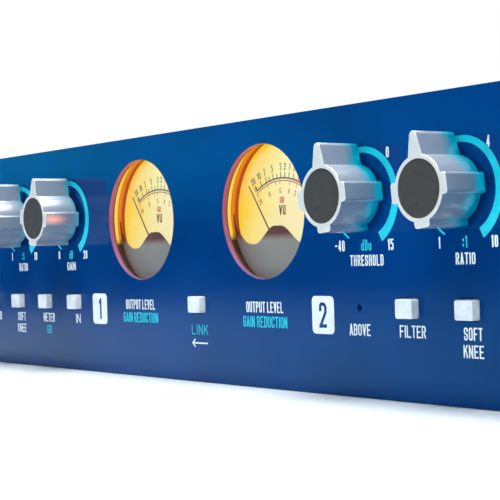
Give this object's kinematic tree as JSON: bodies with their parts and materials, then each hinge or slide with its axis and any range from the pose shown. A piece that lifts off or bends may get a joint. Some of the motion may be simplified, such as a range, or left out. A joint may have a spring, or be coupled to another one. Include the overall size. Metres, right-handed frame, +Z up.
{
  "type": "rack compressor",
  "caption": "Rack-mount two-channel audio compressor with lit meters, pointer knobs and push buttons on a blue panel and sockets on the back.",
  "frame": {"origin": "centre of the rack-slot pattern on the rear face of the front panel", "axes": "+X along the panel to the user's right, +Y from the front to the back, +Z up"},
  "size_m": [0.4826, 0.2533, 0.0882],
  "materials": {
    "panel_blue": "satin brushed",
    "sheet_steel": "satin powder coat",
    "screw_steel": "zinc plated",
    "pot_housing": "satin",
    "brass_parts": "plated",
    "switch_black": "moulded",
    "board_green": "solder mask",
    "components": "mixed parts",
    "core_laminations": "varnished",
    "copper_winding": "enamelled wire",
    "socket_black": "moulded",
    "latch_metal": "pressed",
    "led_amber": "clear",
    "magnet_steel": "machined",
    "meter_case": "moulded",
    "meter_lens": "clear",
    "meter_dial": "backlit print",
    "meter_scoop": "satin",
    "needle_black": "matt",
    "knob_grey": "satin",
    "cap_dark": "fine grain",
    "spindle_steel": "turned",
    "button_white": "satin",
    "print_white": "screen print",
    "print_teal": "screen print"
  },
  "bodies": {
    "chassis": {"front_panel": "panel_blue", "sub_panel": "sheet_steel", "chassis_tray": "sheet_steel", "top_cover": "sheet_steel", "rear_panel": "sheet_steel", "case_screws": "screw_steel", "potentiometers": "pot_housing", "pot_nuts": "brass_parts", "switch_bodies": "switch_black", "front_board": "board_green", "main_board": "board_green", "board_standoffs": "brass_parts", "board_components": "components", "output_transformers": "core_laminations", "mains_transformer": "copper_winding", "xlr_sockets": "socket_black", "power_module": "socket_black", "indicator_leds": "led_amber", "meter_movements": "magnet_steel", "vu_case_1": "meter_case", "vu_case_2": "meter_case", "vu_lens_1": "meter_lens", "vu_lens_2": "meter_lens", "vu_dial_1": "meter_dial", "vu_dial_2": "meter_dial", "vu_scoop_1": "meter_scoop", "vu_scoop_2": "meter_scoop"},
    "control_threshold_1": {"knob_threshold_1": "knob_grey", "knob_cap_threshold_1": "cap_dark", "spindle_threshold_1": "spindle_steel"},
    "control_ratio_1": {"knob_ratio_1": "knob_grey", "knob_cap_ratio_1": "cap_dark", "spindle_ratio_1": "spindle_steel"},
    "control_gain_1": {"knob_gain_1": "knob_grey", "knob_cap_gain_1": "cap_dark", "spindle_gain_1": "spindle_steel"},
    "control_threshold_2": {"knob_threshold_2": "knob_grey", "knob_cap_threshold_2": "cap_dark", "spindle_threshold_2": "spindle_steel"},
    "control_ratio_2": {"knob_ratio_2": "knob_grey", "knob_cap_ratio_2": "cap_dark", "spindle_ratio_2": "spindle_steel"},
    "control_gain_2": {"knob_gain_2": "knob_grey", "knob_cap_gain_2": "cap_dark", "spindle_gain_2": "spindle_steel"},
    "push_link": {"button_link": "button_white"},
    "push_filter_1": {"button_filter_1": "button_white"},
    "push_soft_knee_1": {"button_soft_knee_1": "button_white"},
    "push_meter_1": {"button_meter_1": "button_white"},
    "push_in_1": {"button_in_1": "button_white"},
    "push_filter_2": {"button_filter_2": "button_white"},
    "push_soft_knee_2": {"button_soft_knee_2": "button_white"},
    "push_meter_2": {"button_meter_2": "button_white"},
    "push_in_2": {"button_in_2": "button_white"},
    "pointer_1": {"needle_1": "needle_black"},
    "pointer_2": {"needle_2": "needle_black"},
    "latch_1": {"latch_tab_1": "latch_metal"},
    "latch_2": {"latch_tab_2": "latch_metal"},
    "rocker": {"power_rocker": "socket_black"},
    "drawer": {"fuse_drawer": "socket_black"}
  },
  "joints": [
    {"name": "turn_threshold_1", "type": "hinge", "parent": "chassis", "child": "control_threshold_1", "pos_m": [-0.17095, 0, 0.01625], "axis": [0, 1, 0], "range_deg": [-150, 150]},
    {"name": "turn_ratio_1", "type": "hinge", "parent": "chassis", "child": "control_ratio_1", "pos_m": [-0.13015, 0, 0.01625], "axis": [0, 1, 0], "range_deg": [-154, 146]},
    {"name": "turn_gain_1", "type": "hinge", "parent": "chassis", "child": "control_gain_1", "pos_m": [-0.08935, 0, 0.01625], "axis": [0, 1, 0], "range_deg": [-155, 145]},
    {"name": "turn_threshold_2", "type": "hinge", "parent": "chassis", "child": "control_threshold_2", "pos_m": [0.08765, 0, 0.01625], "axis": [0, 1, 0], "range_deg": [-145, 155]},
    {"name": "turn_ratio_2", "type": "hinge", "parent": "chassis", "child": "control_ratio_2", "pos_m": [0.12845, 0, 0.01625], "axis": [0, 1, 0], "range_deg": [-144, 156]},
    {"name": "turn_gain_2", "type": "hinge", "parent": "chassis", "child": "control_gain_2", "pos_m": [0.16925, 0, 0.01625], "axis": [0, 1, 0], "range_deg": [-150, 150]},
    {"name": "press_link", "type": "slide", "parent": "chassis", "child": "push_link", "axis": [0, 1, 0], "range_m": [0, 0.0025], "stiffness_N_per_m": 250, "springref_m": -0.002},
    {"name": "press_filter_1", "type": "slide", "parent": "chassis", "child": "push_filter_1", "axis": [0, 1, 0], "range_m": [0, 0.0025], "stiffness_N_per_m": 250, "springref_m": -0.002},
    {"name": "press_soft_knee_1", "type": "slide", "parent": "chassis", "child": "push_soft_knee_1", "axis": [0, 1, 0], "range_m": [0, 0.0025], "stiffness_N_per_m": 250, "springref_m": -0.002},
    {"name": "press_meter_1", "type": "slide", "parent": "chassis", "child": "push_meter_1", "axis": [0, 1, 0], "range_m": [0, 0.0025], "stiffness_N_per_m": 250, "springref_m": -0.002},
    {"name": "press_in_1", "type": "slide", "parent": "chassis", "child": "push_in_1", "axis": [0, 1, 0], "range_m": [0, 0.0025], "stiffness_N_per_m": 250, "springref_m": -0.002},
    {"name": "press_filter_2", "type": "slide", "parent": "chassis", "child": "push_filter_2", "axis": [0, 1, 0], "range_m": [0, 0.0025], "stiffness_N_per_m": 250, "springref_m": -0.002},
    {"name": "press_soft_knee_2", "type": "slide", "parent": "chassis", "child": "push_soft_knee_2", "axis": [0, 1, 0], "range_m": [0, 0.0025], "stiffness_N_per_m": 250, "springref_m": -0.002},
    {"name": "press_meter_2", "type": "slide", "parent": "chassis", "child": "push_meter_2", "axis": [0, 1, 0], "range_m": [0, 0.0025], "stiffness_N_per_m": 250, "springref_m": -0.002},
    {"name": "press_in_2", "type": "slide", "parent": "chassis", "child": "push_in_2", "axis": [0, 1, 0], "range_m": [0, 0.0025], "stiffness_N_per_m": 250, "springref_m": -0.002},
    {"name": "deflect_1", "type": "hinge", "parent": "chassis", "child": "pointer_1", "pos_m": [-0.03665, 0.0061, -0.001], "axis": [0, 1, 0], "range_deg": [0, 70], "stiffness_Nm_per_rad": 0.00002, "springref_deg": -11.46},
    {"name": "deflect_2", "type": "hinge", "parent": "chassis", "child": "pointer_2", "pos_m": [0.03755, 0.0061, -0.001], "axis": [0, 1, 0], "range_deg": [0, 70], "stiffness_Nm_per_rad": 0.00002, "springref_deg": -11.46},
    {"name": "release_1", "type": "slide", "parent": "chassis", "child": "latch_1", "axis": [0, -1, 0], "range_m": [0, 0.0015], "stiffness_N_per_m": 600, "springref_m": -0.0005},
    {"name": "release_2", "type": "slide", "parent": "chassis", "child": "latch_2", "axis": [0, -1, 0], "range_m": [0, 0.0015], "stiffness_N_per_m": 600, "springref_m": -0.0005},
    {"name": "rock_power", "type": "hinge", "parent": "chassis", "child": "rocker", "pos_m": [0.178, 0.2285, -0.004], "axis": [1, 0, 0], "range_deg": [-20, 0]},
    {"name": "open_fuse_drawer", "type": "slide", "parent": "chassis", "child": "drawer", "axis": [0, 1, 0], "range_m": [0, 0.014]}
  ]
}
